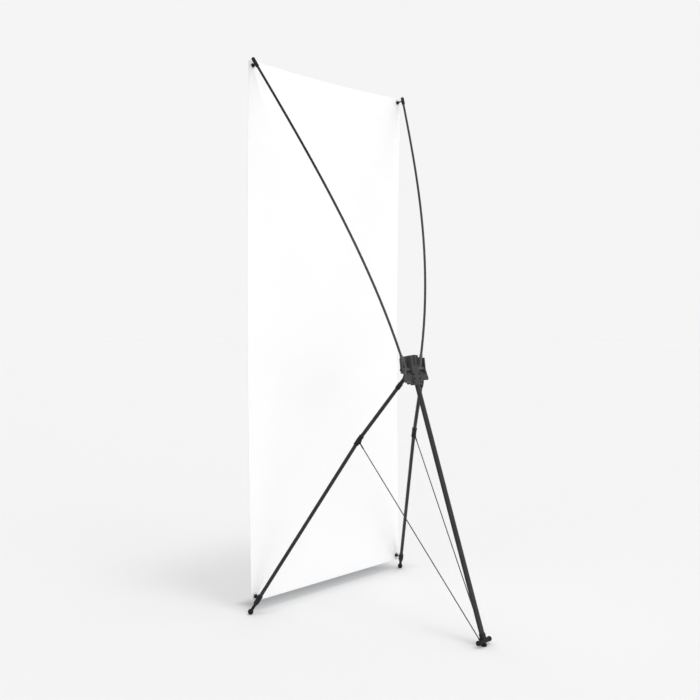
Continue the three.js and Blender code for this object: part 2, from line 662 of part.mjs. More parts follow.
function buildCollar(side, name, lower, lowerFrame) {
  const sleeve = (matrix) => solid(turned([
    [0, 0], [collar.radius, 0], [collar.radius, collar.half - collar.ring],
    [collar.lip, collar.half - collar.ring],
    [collar.lip, collar.half - gap], [collar.lip - gap, collar.half], [0, collar.half],
  ])).transform(matrix.elements);
  const inLower = lowerFrame.clone().invert();
  const upDirection = legPoints(side).pivot.sub(legPoints(side).bend).transformDirection(inLower);
  const upFrame = frameAlong(new THREE.Vector3(), upDirection);
  const boreUp = solid(roundHole(tube.radius + gap, collar.butt - gap, collar.half + overrun))
    .transform(upFrame.elements);
  const boreDown = solid(roundHole(tube.radius + gap, collar.butt - gap, collar.half + overrun));
  const knee = solid(new THREE.SphereGeometry(collar.radius, count.turnedSides, count.rodSides));

  const { near, along } = stayLine(side);
  const tipAt = near.clone().addScaledVector(along, -stay.crimpBall - gap).applyMatrix4(inLower);
  const outward = new THREE.Vector3(tipAt.x, tipAt.y, 0);
  const lugFrame = frameAlong(new THREE.Vector3(), new THREE.Vector3(0, 0, 1), outward);
  const reach = outward.length();
  const plan = outline([
    [0, -lug.half], [collar.radius, -lug.half],
    [reach, tipAt.z - lug.thick / 2], [reach, tipAt.z + lug.thick / 2],
    [collar.radius, lug.half], [0, lug.half],
  ]);
  const fin = solid(plate(plan, -lug.thick / 2, lug.thick / 2)).transform(lugFrame.elements);
  const seat = solid(roundBar(lug.thick, -lug.thick / 2, 0)).transform(
    frameAlong(tipAt, along.clone().transformDirection(inLower)).elements);
  const frontFace = solid(roundBar(lug.reach, 0, lug.reach)).transform(
    frameAlong(tipAt, along.clone().transformDirection(inLower)).elements);
  const whole = join(sleeve(new THREE.Matrix4()), sleeve(upFrame), knee, fin, seat);
  node(lower, `leg_collar_${name}`, cut(whole, boreUp, boreDown, frontFace), darkMoulded);
}

function buildStay(side, name) {
  const { near, along, length } = stayLine(side);
  const group = groupAt(stand, frameAlong(near, along));
  const crimp = turned([
    [0, -stay.crimpBall],
    [stay.crimpBall * Math.sin(Math.PI / 4), -stay.crimpBall * Math.cos(Math.PI / 4)],
    [stay.crimpBall, 0], [stay.crimp, stay.crimpBall], [stay.crimp, stay.crimpLong - stay.crimp],
    [stay.radius, stay.crimpLong], [0, stay.crimpLong],
  ], count.pinSides);
  node(group, `stay_crimp_${name}`, crimp, darkMoulded);
  const path = new THREE.LineCurve3(
    new THREE.Vector3(0, 0, stay.crimpLong + gap), new THREE.Vector3(0, 0, length - eye.long - gap));
  const settings = { steps: count.cordSteps, bevelEnabled: false, extrudePath: path };
  const cord = new THREE.ExtrudeGeometry(roundSection(stay.radius, count.cordSides), settings);
  node(group, `stay_cord_${name}`, solid(cord), cordThread);
}

// Rear leg: a flat oval tube on a plug, and a cross bar with a rubber pad under it
function buildRearLeg() {
  const leg = groupAt(stand, rearFrame);
  const neck = rearKnuckle.shoulder - overrun;
  const tongue = hingeTongue(rearKnuckle.radius, rearTube.thick / 2, rearTube.half, neck);
  const shoulder = ovalBar(rearTube.half, rearTube.thick, rearKnuckle.radius, rearKnuckle.shoulder);
  const spigotSize = rearTube.wall + gap;
  const spigot = ovalBar(rearTube.half - spigotSize, rearTube.thick - spigotSize - spigotSize,
    rearKnuckle.shoulder - overrun, rearKnuckle.shoulder + rearKnuckle.spigot);
  const holeHalf = rearTube.half + overrun;
  const hole = alongX(roundHole(rearPin.radius + gap, -holeHalf, holeHalf));
  const plug = join(tongue, solid(shoulder), solid(spigot));
  node(leg, 'rear_leg_knuckle', cut(plug, solid(hole)), darkMoulded);

  const tubeEnd = rearLength - bar.radius - bar.sleeve;
  node(leg, 'rear_leg_tube',
    ovalBar(rearTube.half, rearTube.thick, rearKnuckle.shoulder + gap, tubeEnd, rearTube.wall), paintedTube);

  const sleeveTop = rearLength - bar.sleeveLong;
  const sleeve = solid(
    ovalBar(rearTube.half + bar.sleeve, rearTube.thick + bar.sleeve + bar.sleeve, sleeveTop, rearLength));
  const sleeveBore = solid(
    ovalBar(rearTube.half + gap, rearTube.thick + gap + gap, sleeveTop - overrun, tubeEnd + gap));
  const pegEnd = bar.half + bar.pegLong;
  const cross = solid(alongX(turned([
    [0, -pegEnd], [bar.peg, -pegEnd], [bar.peg, -bar.half], [bar.radius, -bar.half],
    [bar.radius, bar.half], [bar.peg, bar.half], [bar.peg, pegEnd], [0, pegEnd],
  ]))).translate([0, 0, rearLength]);
  const inLeg = rearFrame.clone().invert();
  const floorFrame = new THREE.Matrix4().makeTranslation(0, bar.back, 0).premultiply(inLeg);
  const under = solid(roundBar(bar.half, -bar.half, bar.height - bar.radius)).transform(floorFrame.elements);
  const eyes = [1, -1].map((side) => {
    const { far, along } = stayLine(side);
    const upCord = inLeg.clone().multiply(frameAlong(far, along.negate()));
    return solid(roundBar(eye.radius, -bar.radius / 2, eye.long)).transform(upCord.elements);
  });
  node(leg, 'rear_foot_bar', cut(join(sleeve, cross, ...eyes), sleeveBore, under), darkMoulded);

  const rest = groupAt(stand, new THREE.Matrix4().setPosition(0, bar.back, 0));
  const padTop = bar.height - bar.radius - gap;
  node(rest, 'rear_foot_pad', turned([
    [0, 0], [pad.foot, 0], [pad.radius, pad.edgeRadius], [pad.radius, pad.shoulder],
    [pad.neck, padTop], [0, padTop],
  ]), rubber);
  for (const [side, name] of [[1, 'left'], [-1, 'right']]) {
    const end = groupAt(stand, new THREE.Matrix4().setPosition(side * ball.across, bar.back, bar.height));
    const sphere = solid(new THREE.SphereGeometry(ball.radius, count.turnedSides, count.rodSides));
    const inner = bar.half - ball.across;
    const socket = alongX(roundHole(bar.peg + gap, inner - overrun, inner + bar.pegLong + gap));
    const faceCut = alongX(roundBar(ball.radius, inner - ball.radius, inner + gap));
    const drill = join(solid(socket), solid(faceCut));
    node(end, `rear_foot_ball_${name}`, cut(sphere, side > 0 ? drill : drill.rotate([0, 0, 180])), rubber);
  }
}

// Sheet: one closed body that bows forward between its two hems, with a slack top edge.
// Row 0 is the lower edge, and the hem reaches from there to row 1. The upper hem is alike.
function sheetPoint(column, row, depth) {
  const across = column / sheetCount.columns;
  const rise = THREE.MathUtils.clamp((row - 1) / sheetCount.rowsBetweenHems, 0, 1);
  const lowerHem = row < 1 ? 0 : banner.hem;
  const upperHem = row > sheetCount.rowsBetweenHems + 1 ? banner.hem : 0;
  const above = lowerHem + rise * (banner.height - banner.hem - banner.hem) + upperHem;
  const slack = 4 * across * (1 - across) * banner.topSag * (above / banner.height) ** 4;
  const bow = banner.bow * Math.sin(Math.PI * rise);
  return new THREE.Vector3((across - 1 / 2) * banner.width, depth - bow, banner.bottom + above - slack);
}

function sheetBody() {
  const across = sheetCount.columns;
  const up = sheetCount.rowsBetweenHems + sheetCount.hemRows;
  const positions = [];
  const faces = [];
  const index = (layer, i, j) => (layer * (up + 1) + j) * (across + 1) + i;
  for (const depth of [banner.thick / 2, -banner.thick / 2]) {
    for (let j = 0; j <= up; j += 1) {
      for (let i = 0; i <= across; i += 1) positions.push(...sheetPoint(i, j, depth).toArray());
    }
  }
  const quad = (a, b, c, d) => faces.push(a, b, c, a, c, d);
  for (let j = 0; j < up; j += 1) {
    for (let i = 0; i < across; i += 1) {
      quad(index(0, i, j), index(0, i, j + 1), index(0, i + 1, j + 1), index(0, i + 1, j));
      quad(index(1, i, j), index(1, i + 1, j), index(1, i + 1, j + 1), index(1, i, j + 1));
    }
    quad(index(0, 0, j), index(1, 0, j), index(1, 0, j + 1), index(0, 0, j + 1));
    quad(index(0, across, j), index(0, across, j + 1), index(1, across, j + 1), index(1, across, j));
  }
  for (let i = 0; i < across; i += 1) {
    quad(index(0, i, 0), index(0, i + 1, 0), index(1, i + 1, 0), index(1, i, 0));
    quad(index(0, i, up), index(1, i, up), index(1, i + 1, up), index(0, i + 1, up));
  }
  const geometry = new THREE.BufferGeometry();
  geometry.setAttribute('position', new THREE.Float32BufferAttribute(positions, 3));
  geometry.setIndex(faces);
  return solid(geometry);
}

const corners = [
  ['top_left', 1, true], ['top_right', -1, true], ['bottom_left', 1, false], ['bottom_right', -1, false],
];

function buildBanner() {
  const holes = [];
  const face = eyelet.flange - eyelet.edgeRadius;
  const half = banner.thick / 2 + gap;
  for (const [name, side, up] of corners) {
    const frame = frameAlong(eyeletPoint(side, up), new THREE.Vector3(0, -1, 0));
    const hole = solid(roundHole(eyelet.barrel + gap, -banner.bow, banner.bow));
    holes.push(hole.transform(frame.elements));
    const group = groupAt(stand, frame);
    const outer = half + eyelet.lip;
    node(group, `eyelet_${name}`, turned([
      [eyelet.bore, -outer], [face, -outer], [eyelet.flange, -half - eyelet.lip / 2],
      [eyelet.flange, -half], [eyelet.barrel, -half], [eyelet.barrel, half], [eyelet.flange, half],
      [eyelet.flange, half + eyelet.lip / 2], [face, outer], [eyelet.bore, outer], [eyelet.bore, -outer],
    ], count.pinSides), blackPlate);
  }
  node(stand, 'banner_sheet', cut(sheetBody(), ...holes), vinyl);
}

buildHub();
buildPins();
for (const [side, name] of [[1, 'left'], [-1, 'right']]) {
  buildArm(side, name);
  buildLeg(side, name);
}
buildRearLeg();
buildBanner();

// The frame's origin is on the floor under the middle of the stand
stand.updateMatrixWorld(true);
const reach = new THREE.Box3().setFromObject(stand, true);
stand.position.set(0, -(reach.min.y + reach.max.y) / 2, -reach.min.z);
stand.updateMatrixWorld(true);

export default stand;
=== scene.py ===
# %% [markdown]
# # X banner stand, dressed for its photograph
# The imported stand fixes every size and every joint. This lesson puts the camera where the
# photographer stood, lays the two stay cords, stretches the sheet between its hooks, and gives each
# piece the finish that the real one has. Lengths are in metres.

import json
from math import cos, exp, pi, radians, sin

import bmesh
import bpy
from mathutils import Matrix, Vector


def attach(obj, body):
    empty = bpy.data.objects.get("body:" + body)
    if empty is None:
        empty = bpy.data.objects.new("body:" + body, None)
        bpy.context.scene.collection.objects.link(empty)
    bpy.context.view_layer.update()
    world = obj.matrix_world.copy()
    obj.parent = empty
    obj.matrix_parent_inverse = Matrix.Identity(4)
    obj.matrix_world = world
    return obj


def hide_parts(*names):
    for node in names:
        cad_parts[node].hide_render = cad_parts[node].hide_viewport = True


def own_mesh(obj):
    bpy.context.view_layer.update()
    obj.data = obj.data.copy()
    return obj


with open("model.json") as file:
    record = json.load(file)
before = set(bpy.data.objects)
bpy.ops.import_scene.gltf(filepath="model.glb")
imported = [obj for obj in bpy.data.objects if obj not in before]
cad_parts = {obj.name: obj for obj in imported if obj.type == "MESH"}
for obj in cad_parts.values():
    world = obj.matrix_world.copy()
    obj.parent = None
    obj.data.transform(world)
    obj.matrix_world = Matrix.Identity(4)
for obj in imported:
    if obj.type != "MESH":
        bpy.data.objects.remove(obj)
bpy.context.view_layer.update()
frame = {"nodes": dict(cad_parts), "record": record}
nodes = frame["nodes"]

# %% [markdown]
# ## Camera
# The picture was taken from behind the stand and a little above its middle. The camera could be
# aimed by eye, but its place and heading were worked out from the eyelets and the feet, whose real
# places are known, so they are written down here and the lens follows from the same sum.

# %% Camera at the photographer's place
camera_place = Vector((2.1475, 2.0333, 1.1121))
heading = -2.3206
tilt = -0.0428
lens_mm = 41.4
sensor_mm = 36
camera_data = bpy.data.cameras.new("camera")
camera_data.lens = lens_mm
camera_data.sensor_width = sensor_mm
camera = bpy.data.objects.new("camera", camera_data)
bpy.context.scene.collection.objects.link(camera)
looking = Vector((cos(heading) * cos(tilt), sin(heading) * cos(tilt), sin(tilt)))
camera.location = camera_place
camera.rotation_euler = looking.to_track_quat("-Z", "Y").to_euler()
bpy.context.scene.camera = camera
print("camera looks along", [round(v, 3) for v in looking])

# %% [markdown]
# ## Stay cords
# Two thin braided cords tie the front legs' collars to two eyes on the rear foot's bar. They are
# taut, so each is a straight run, and their thickness is what the picture shows. The run starts
# where the crimp at the collar ends, and stops ten millimetres short of the eye's middle. When the
# legs fold, the real cord goes slack.

# %% Places and sizes of the cords
sides = {"left": 1, "right": -1}
stay_near = Vector((0.145492, -0.059027, 0.644877))
stay_far = Vector((0.009, 0.38065, 0.0167))
stay_thick = 0.0036
crimp_long = 0.0203
eye_long = 0.0103
cord_steps = 24
cord_sides = 12


def mirrored(point, side):
    return Vector((point.x * side, point.y, point.z))


print("from lug to eye:", round((stay_far - stay_near).length, 4), "m")

# %% [markdown]
# A bevelled curve would do for a still picture. A mesh tube is used instead, because it carries its
# own coordinates along and around the cord, which the braid needs.

# %% Points and faces of a tube
def tube_points(path, radius, around):
    """A ring of points round each place of the path."""
    run = (path[-1] - path[0]).normalized()
    across = run.cross(Vector((0, 0, 1))).normalized()
    upward = across.cross(run)
    points = []
    for place in path:
        for k in range(around):
            turn = 2 * pi * k / around
            points.append(place + radius * (cos(turn) * across + sin(turn) * upward))
    return points


def tube_faces(rings, around):
    """Four-sided faces from ring to ring, and a cap on each end."""
    faces = []
    for ring in range(rings - 1):
        for k in range(around):
            a = ring * around + k
            b = ring * around + (k + 1) % around
            faces.append((a, b, b + around, a + around))
    last = (rings - 1) * around
    faces.append(tuple(reversed(range(around))))
    faces.append(tuple(range(last, last + around)))
    return faces


# %% Put a mesh in the scene
def add_piece(name, points, faces):
    """A mesh of these points and faces, placed in the scene."""
    mesh = bpy.data.meshes.new(name)
    mesh.from_pydata(points, [], faces)
    piece = bpy.data.objects.new(name, mesh)
    bpy.context.scene.collection.objects.link(piece)
    return piece


# %% A tube with coordinates along and around it
def add_tube(name, path, radius, around):
    tube = add_piece(name, tube_points(path, radius, around), tube_faces(len(path), around))
    mesh = tube.data
    mesh.shade_smooth()
    layer = mesh.uv_layers.new(name="along")
    for face in mesh.polygons:
        for corner, loop in enumerate(face.loop_indices):
            ring, k = divmod(mesh.loops[loop].vertex_index, around)
            turned = around if k == 0 and corner in (1, 2) else k
            layer.data[loop].uv = (ring / (len(path) - 1), turned / around)
    return tube


# %% Lay the two cords
cords = {}
for name, side in sides.items():
    near = mirrored(stay_near, side)
    far = mirrored(stay_far, side)
    along = (far - near).normalized()
    start = near + crimp_long * along
    end = far - eye_long * along
    path = [start.lerp(end, k / cord_steps) for k in range(cord_steps + 1)]
    cord = add_tube(f"stay_{name}_braid", path, stay_thick / 2, cord_sides)
    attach(cord, f"stay_{name}")
    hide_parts(f"stay_cord_{name}")
    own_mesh(cord)
    cords[name] = cord
    print(cord.name, "is", round((end - start).length, 4), "m long")

# %% [markdown]
# ## Sheet
# The sheet is a blank vinyl banner, held only at its four eyelets. It bows forward over its height,
# its top edge hangs a little slack, and soft folds fan out from each eyelet, where the pull gathers
# it. A cloth simulation would give folds at random, so the sheet is a fine grid shaped by a formula.

# %% Sizes of the sheet
sheet_wide = 0.8
sheet_tall = 2.0
sheet_thick = 0.0006
sheet_foot = 0.042
sheet_plane = -0.38425
bow_depth = 0.015
top_slack = 0.011
eyelet_inset = 0.02
hem_deep = 2 * eyelet_inset
left_line = sheet_wide / 2 - eyelet_inset
low_line = sheet_foot + eyelet_inset
high_line = sheet_foot + sheet_tall - eyelet_inset
print("eyelets", round(2 * left_line, 3), "m apart, from", low_line, "to", high_line, "m high")

# %% [markdown]
# An even grid fine enough for the folds would have far too many faces. So its lines are close
# together near the corners, where the folds are, and wider apart in the middle.

# %% Grid lines, close together near the corners
corner_zone = (0.06, 0.004)
fold_zone = (0.24, 0.0072)
middle_step = 0.016


def grid_lines(length):
    """Places along one edge, the same from both ends. A zone is its limit and its step."""
    places = [0.0]
    for limit, step in (corner_zone, fold_zone, (length / 2, middle_step)):
        first = places[-1]
        count = max(1, round((limit - first) / step))
        places += [first + (limit - first) * (k + 1) / count for k in range(count)]
    return places + [length - place for place in reversed(places[:-1])]


columns = grid_lines(sheet_wide)
rows = grid_lines(sheet_tall)
print("grid:", len(columns), "by", len(rows))

# %% [markdown]
# Each fold is a long low ridge or furrow that starts at the rim of an eyelet. Its height rises
# quickly and fades with distance, and its width grows, which is how a stretched sheet gathers to a
# point. A fold's row holds the eyelet's place, the direction, the height towards the rear, and the
# distance from the rim at which it is highest. The folds could be pulled up by hand in sculpting,
# but as rows of numbers each can be set against the picture on its own.

# %% Folds at the eyelets
fold_start = 0.011
fold_narrow = 0.0035
fold_widens = 0.05
folds = [
    (left_line, high_line, -0.3, -0.954, 0.004, 0.03),
    (left_line, high_line, -0.55, -0.835, -0.0015, 0.04),
    (-left_line, high_line, -0.1, -0.995, 0.0036, 0.03),
    (-left_line, high_line, 0.3, -0.954, -0.0012, 0.04),
    (left_line, low_line, -0.52, 0.854, 0.0046, 0.045),
    (left_line, low_line, -0.3, 0.954, -0.0022, 0.05),
    (left_line, low_line, -0.7, 0.714, -0.0016, 0.05),
    (-left_line, low_line, 0.06, 0.998, 0.004, 0.04),
    (-left_line, low_line, 0.35, 0.937, -0.0018, 0.05),
]


def fold_height(x, z):
    height = 0.0
    for fx, fz, dx, dz, rise, reach in folds:
        out = (x - fx) * dx + (z - fz) * dz
        if out <= fold_start:
            continue
        aside = abs((x - fx) * dz - (z - fz) * dx)
        broad = fold_narrow + fold_widens * out
        grow = (out - fold_start) / reach
        height += rise * grow * exp(1 - grow) * exp(-((aside / broad) ** 2))
    return height


print("folds:", len(folds))

# %% [markdown]
# The bow is half a sine wave between the two hems, which stay upright. The slack is greatest at the
# middle of the top edge and dies away towards the foot. Both could be bent in with modifiers, but
# the folds need the final place of each point, so one function gives it all.

# %% Shape of the sheet
def sheet_place(x, up):
    slack = top_slack * (1 - (2 * x / sheet_wide) ** 2) * (up / sheet_tall) ** 4
    z = sheet_foot + up - slack
    share = min(max((up - hem_deep) / (sheet_tall - 2 * hem_deep), 0), 1)
    bow = bow_depth * sin(pi * share)
    return Vector((x, sheet_plane - bow + fold_height(x, z), z))


print("middle of the sheet:", [round(v, 3) for v in sheet_place(0, sheet_tall / 2)])

# %% [markdown]
# Each eyelet sits in a punched hole. A boolean cut would leave ragged long faces, so the grid's own
# points make the hole: those inside it are left out, and those just outside move in to its rim.

# %% Points of the sheet, drawn to the rim of each hole
hole_radius = 0.0058
rim_reach = 0.0035
eyelets = [(x, z) for x in (-left_line, left_line) for z in (low_line, high_line)]


def nearest_eyelet(x, z):
    """How far away the nearest eyelet's centre is, and its place."""
    return min((((x - cx) ** 2 + (z - cz) ** 2) ** 0.5, cx, cz) for cx, cz in eyelets)


points = []
in_hole = set()
for up in rows:
    for run in columns:
        place = sheet_place(run - sheet_wide / 2, up)
        away, hole_x, hole_z = nearest_eyelet(place.x, place.z)
        if away < hole_radius:
            in_hole.add(len(points))
        elif away < hole_radius + rim_reach:
            pull = hole_radius / away
            place.x = hole_x + (place.x - hole_x) * pull
            place.z = hole_z + (place.z - hole_z) * pull
        points.append(place)
print("points:", len(points), "of them in the holes:", len(in_hole))

# %% Faces of the sheet
row_long = len(columns)
faces = []
for j in range(len(rows) - 1):
    for i in range(row_long - 1):
        corner = j * row_long + i
        quad = (corner, corner + row_long, corner + row_long + 1, corner + 1)
        kept = tuple(k for k in quad if k not in in_hole)
        if len(kept) >= 3:
            faces.append(kept)
sheet = add_piece("banner_vinyl", points, faces)
print("sheet faces:", len(faces))

# %% [markdown]
# The points in the holes belong to no face and have to go. The thickness is a modifier, so the sheet
# stays one surface that is easy to reshape.

# %% Clean the loose points, smooth it and give it its thickness
work = bmesh.new()
work.from_mesh(sheet.data)
bmesh.ops.delete(work, geom=[v for v in work.verts if not v.link_faces], context="VERTS")
bmesh.ops.recalc_face_normals(work, faces=work.faces)
work.to_mesh(sheet.data)
work.free()
sheet.data.shade_smooth()
thickness = sheet.modifiers.new("thickness", "SOLIDIFY")
thickness.thickness = sheet_thick
thickness.offset = 0
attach(sheet, "banner")
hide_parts("banner_sheet")
print("sheet points after cleaning:", len(sheet.data.vertices))

# %% [markdown]
# ## Shoulders of the hub
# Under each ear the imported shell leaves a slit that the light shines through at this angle. The real
# moulding has a closed corner there. The shell's own points stay as they were packed, so a small
# block inside each shoulder closes the slit.

# %% Close the two shoulders
shoulder_low = Vector((0.0514, 0.0515, 0.904))
shoulder_high = Vector((0.0552, 0.0612, 0.9112))


def add_block(name, low, high):
    places = [(x, y, z) for x in (low.x, high.x) for y in (low.y, high.y) for z in (low.z, high.z)]
    walls = [(0, 1, 3, 2), (4, 6, 7, 5), (0, 4, 5, 1), (2, 3, 7, 6), (0, 2, 6, 4), (1, 5, 7, 3)]
    return add_piece(name, places, walls)


shoulders = []
for name, side in sides.items():
    ends = sorted((shoulder_low.x * side, shoulder_high.x * side))
    low = Vector((ends[0], shoulder_low.y, shoulder_low.z))
    high = Vector((ends[1], shoulder_high.y, shoulder_high.z))
    block = add_block(f"hub_shoulder_{name}", low, high)
    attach(block, "hub")
    shoulders.append(block)
print("shoulders:", len(shoulders))

# %% [markdown]
# ## Finishes: how they are made
# Moulded plastic, paint, rubber and vinyl all have the same kind of surface story: a base colour
# that drifts a little, a roughness, and a fine relief. A picture could be wrapped round each piece.
# Nodes are used instead, because they need no unwrapping and stay sharp from close by.

# %% Start a finish with one colour all over
def shader_of(finish):
    return finish.node_tree.nodes["Principled BSDF"]


def start_finish(name, colour, roughness, metallic=0.0, gloss=0.5):
    finish = bpy.data.materials.new(name)
    finish.use_nodes = True
    shader = shader_of(finish)
    shader.inputs["Base Color"].default_value = (*colour, 1)
    shader.inputs["Roughness"].default_value = roughness
    shader.inputs["Metallic"].default_value = metallic
    shader.inputs["Specular IOR Level"].default_value = gloss
    print("finish:", name)
    return finish


# %% [markdown]
# Every node could be added and wired in lines of its own. It is shorter to add a node together with
# what feeds it, where each input gets a plain value or another node's output. The owner of the nodes
# is a finish, or the sky further down.

# %% Add a node with what feeds it
def feed(owner, value, socket):
    """Give an input a plain value, or wire it to another node's output."""
    if isinstance(value, bpy.types.NodeSocket):
        owner.node_tree.links.new(value, socket)
    else:
        socket.default_value = value


def add_node(owner, kind, inputs, operation=None):
    node = owner.node_tree.nodes.new(kind)
    if operation:
        node.operation = operation
    for key, value in inputs.items():
        feed(owner, value, node.inputs[key])
    return node


# %% Numbers made from other numbers
def number(owner, operation, *terms):
    """One number out of one or two others, such as their sum."""
    return add_node(owner, "ShaderNodeMath", dict(enumerate(terms)), operation).outputs["Value"]


def joined(owner, operation, terms):
    """One number out of several, such as the largest or the product."""
    so_far = terms[0]
    for term in terms[1:]:
        so_far = number(owner, operation, so_far, term)
    return so_far


def change(owner, source, places, levels, soft=True):
    """A number that goes from one level to another between two places, softly or evenly."""
    run = add_node(owner, "ShaderNodeMapRange", {
        "Value": source,
        "From Min": places[0],
        "From Max": places[1],
        "To Min": levels[0],
        "To Max": levels[1]})
    run.interpolation_type = "SMOOTHSTEP" if soft else "LINEAR"
    return run.outputs["Result"]


# %% [markdown]
# The coordinates are the object's own, in metres, so the grain keeps its size on every piece and
# moves with it when a joint turns.

# %% Own coordinates and soft patches
def own_place(finish):
    return add_node(finish, "ShaderNodeTexCoord", {}).outputs["Object"]


def split(finish, place):
    """The X, Y and Z of a place as three numbers."""
    return add_node(finish, "ShaderNodeSeparateXYZ", {"Vector": place}).outputs


def patches(finish, scale, detail):
    noise = add_node(finish, "ShaderNodeTexNoise", {
        "Vector": own_place(finish),
        "Scale": scale,
        "Detail": detail})
    return noise.outputs["Fac"]


# %% [markdown]
# A base colour could be painted on each piece by hand. Here a number that varies over the piece
# picks a shade between two, or multiplies the colour that is already there, so every piece of one
# finish gets it at once.

# %% Helpers for the base colour
drift_places = (0.35, 0.65)


def two_shades(finish, amount, low_shade, high_shade, places=(0, 1)):
    """Colour the surface from one shade to another as a number grows between two places."""
    tint = add_node(finish, "ShaderNodeValToRGB", {"Fac": amount})
    low, high = tint.color_ramp.elements
    low.position, high.position = places
    low.color = (*low_shade, 1)
    high.color = (*high_shade, 1)
    feed(finish, tint.outputs["Color"], shader_of(finish).inputs["Base Color"])


def drift(finish, darker, scale, detail=3.0):
    """The base colour wanders between the finish's first shade and a darker one."""
    first_shade = shader_of(finish).inputs["Base Color"].default_value[:3]
    two_shades(finish, patches(finish, scale, detail), darker, first_shade, drift_places)


def scale_colour(finish, factor):
    """Multiply the base colour by a number that changes over the piece."""
    base = shader_of(finish).inputs["Base Color"]
    plain = base.links[0].from_socket
    scaled = add_node(finish, "ShaderNodeVectorMath", {"Vector": plain, "Scale": factor}, "SCALE")
    feed(finish, scaled.outputs["Vector"], base)


# %% [markdown]
# Grains of a tenth of a millimetre would take millions of faces as real shapes. A bump changes only
# how the surface takes the light, which is enough for them. Wear is a change of the roughness.

# %% Helpers for relief and wear
grain_detail = 2.0
wear_detail = 4.0


def bump(finish, amount, height, strength):
    """The surface looks raised where a number is high."""
    raised = add_node(finish, "ShaderNodeBump", {
        "Height": amount,
        "Distance": height,
        "Strength": strength})
    feed(finish, raised.outputs["Normal"], shader_of(finish).inputs["Normal"])


def relief(finish, scale, height, strength=0.4):
    """A fine grain, as the mould or the paint leaves it."""
    bump(finish, patches(finish, scale, grain_detail), height, strength)


def worn(finish, rougher, scale):
    """The roughness changes in patches between the finish's first one and a rougher one."""
    roughness = shader_of(finish).inputs["Roughness"]
    levels = (roughness.default_value, rougher)
    wear = change(finish, patches(finish, scale, wear_detail), (0, 1), levels, soft=False)
    feed(finish, wear, roughness)


# %% [markdown]
# ## Finishes of the parts
# The hub and the arms' knuckles are dark grey moulded plastic with a fine spark grain. The caps,
# collars, end fittings and legs' knuckles are a blacker, smoother plastic. One plastic could serve
# for all of them, but side by side in the picture they differ plainly.

# %% Moulded plastics
hub_plastic = start_finish("hub_plastic", (0.046, 0.046, 0.048), roughness=0.5, gloss=0.3)
drift(hub_plastic, (0.037, 0.037, 0.039), scale=40)
relief(hub_plastic, scale=2200, height=0.0003)

black_plastic = start_finish("black_plastic", (0.0095, 0.0095, 0.01), roughness=0.42, gloss=0.22)
drift(black_plastic, (0.0065, 0.0065, 0.007), scale=60)
relief(black_plastic, scale=3000, height=0.00015)

# %% [markdown]
# The arms' channels are deep, and under this soft sky they go much darker than they are in the
# picture, where the plastic inside them is as pale as outside. A lamp inside the hub would shine on
# the rods too. So light is painted into the colour instead: it is lifted between the middle block and
# each ear and above the channels' foot, in place of the shade that falls there.

# %% Painted light in the arms' channels
# Painted light: the plastic's colour is lifted inside the channels, where shade falls.
channel_block = (0.017, 0.018)
channel_ear = (0.0584, 0.061)
channel_foot = (0.9, 0.91)
channel_painted_light_factor = 1.9
hub_place = split(hub_plastic, own_place(hub_plastic))
from_middle = number(hub_plastic, "ABSOLUTE", hub_place["X"])
painted_light_in_channels = joined(hub_plastic, "MULTIPLY", [
    change(hub_plastic, from_middle, channel_block, (0, 1)),
    change(hub_plastic, from_middle, channel_ear, (1, 0)),
    change(hub_plastic, hub_place["Z"], channel_foot, (0, 1))])
scale_colour(hub_plastic, change(hub_plastic, painted_light_in_channels, (0, 1), (1, channel_painted_light_factor)))
print("channels are", channel_painted_light_factor, "times as pale")

# %% [markdown]
# The rods are pultruded glass fibre, whose shade changes a little under a glossy skin. The legs are
# painted tube, polished in patches by hands. A plain even black would do from far away, but close by
# it looks like plastic.

# %% Glass-fibre rods and painted tubes
rod_skin = start_finish("rod_skin", (0.053, 0.053, 0.054), roughness=0.25, gloss=0.3)
drift(rod_skin, (0.037, 0.037, 0.038), scale=90, detail=5.0)
relief(rod_skin, scale=900, height=0.0001, strength=0.25)

leg_paint = start_finish("leg_paint", (0.02, 0.02, 0.021), roughness=0.3, gloss=0.3)
drift(leg_paint, (0.014, 0.014, 0.015), scale=25)
relief(leg_paint, scale=1400, height=0.00012, strength=0.3)
worn(leg_paint, rougher=0.46, scale=30)

# %% [markdown]
# The lower half of each rod catches more light in the picture than the upper half. More lamps could
# give that, but they would change everything else too, so that light is painted into the rod's
# colour, which falls to a share of itself towards the tip.

# %% Painted light on the rods' lower halves, fading towards the tips
# Painted light: the rods' colour is full on their lower half and falls towards the tips.
rod_painted_light_heights = (1.35, 1.75)
rod_painted_light_top_share = 0.19
rod_height = split(rod_skin, own_place(rod_skin))["Z"]
scale_colour(rod_skin, change(rod_skin, rod_height, rod_painted_light_heights, (1, rod_painted_light_top_share)))
print("rods darken from", rod_painted_light_heights[0], "to", rod_painted_light_heights[1], "m high")

# %% [markdown]
# The feet are matte black rubber. The screws and pins are plated steel, darker than bare steel, and
# the eyelets are plated black. A metal's colour comes from one even layer, so it doesn't drift here,
# and only the gloss and the grain are uneven.

# %% Rubber, steel and black plating
foot_rubber = start_finish("foot_rubber", (0.014, 0.014, 0.0135), roughness=0.8, gloss=0.25)
drift(foot_rubber, (0.009, 0.009, 0.009), scale=80)
relief(foot_rubber, scale=1500, height=0.0003)

dark_steel = start_finish("dark_steel", (0.03, 0.03, 0.032), roughness=0.28, metallic=0.7, gloss=0.3)
worn(dark_steel, rougher=0.5, scale=400)
relief(dark_steel, scale=2500, height=0.00008, strength=0.3)

black_plate = start_finish("black_plate", (0.022, 0.022, 0.023), roughness=0.22, metallic=0.6)
worn(black_plate, rougher=0.4, scale=300)
relief(black_plate, scale=1200, height=0.00006, strength=0.3)
